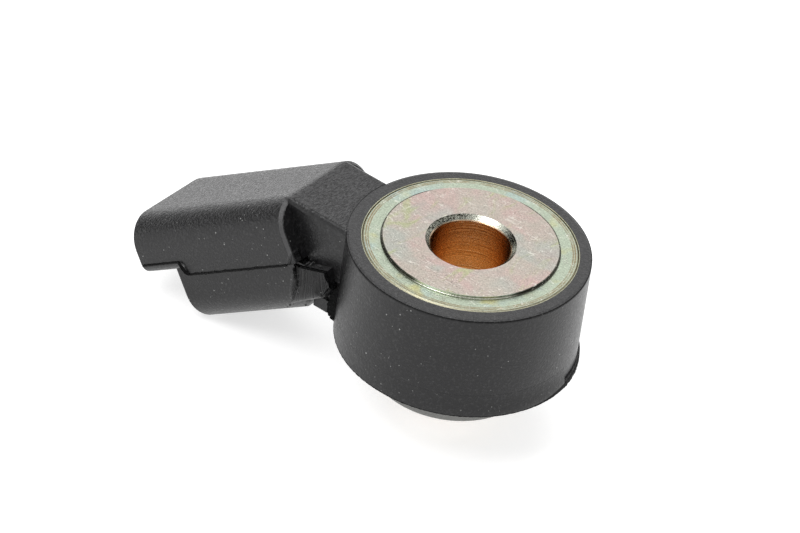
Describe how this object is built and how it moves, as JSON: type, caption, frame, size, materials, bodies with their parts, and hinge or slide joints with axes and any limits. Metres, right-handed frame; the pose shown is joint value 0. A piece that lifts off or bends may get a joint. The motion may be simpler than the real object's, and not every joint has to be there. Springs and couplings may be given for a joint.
{
  "type": "engine knock sensor",
  "caption": "Ring-type engine knock sensor: a round moulded body on a flanged steel sleeve with a through bore for a bolt, and a tilted keyed plug hood on one side.",
  "frame": {"origin": "on the axis of the bolt bore, in the plane of the seating face", "axes": "+Z along the bore axis out of the seating face; the plug hood points towards -X and down, away from the seating face; +Y completes a right-handed frame"},
  "size_m": [0.0499, 0.0254, 0.0213],
  "materials": {
    "moulding": "fine-grained glass-filled nylon",
    "plated_steel": "machined, clear iridescent zinc plating",
    "insulation": "smooth film",
    "contact_brass": "stamped sheet",
    "piezo_ceramic": "fired ceramic with thin metal faces",
    "bright_steel": "turned",
    "blade_brass": "tinned"
  },
  "bodies": {
    "root": {"housing": "moulding", "sleeve": "plated_steel", "insulating_tube": "insulation", "insulating_washer_1": "insulation", "insulating_washer_2": "insulation", "contact_disc_1": "contact_brass", "contact_disc_2": "contact_brass", "piezo_ring": "piezo_ceramic", "mass_ring": "bright_steel", "disc_spring": "bright_steel", "retaining_nut": "bright_steel", "terminal_1": "blade_brass", "terminal_2": "blade_brass"}
  },
  "joints": []
}
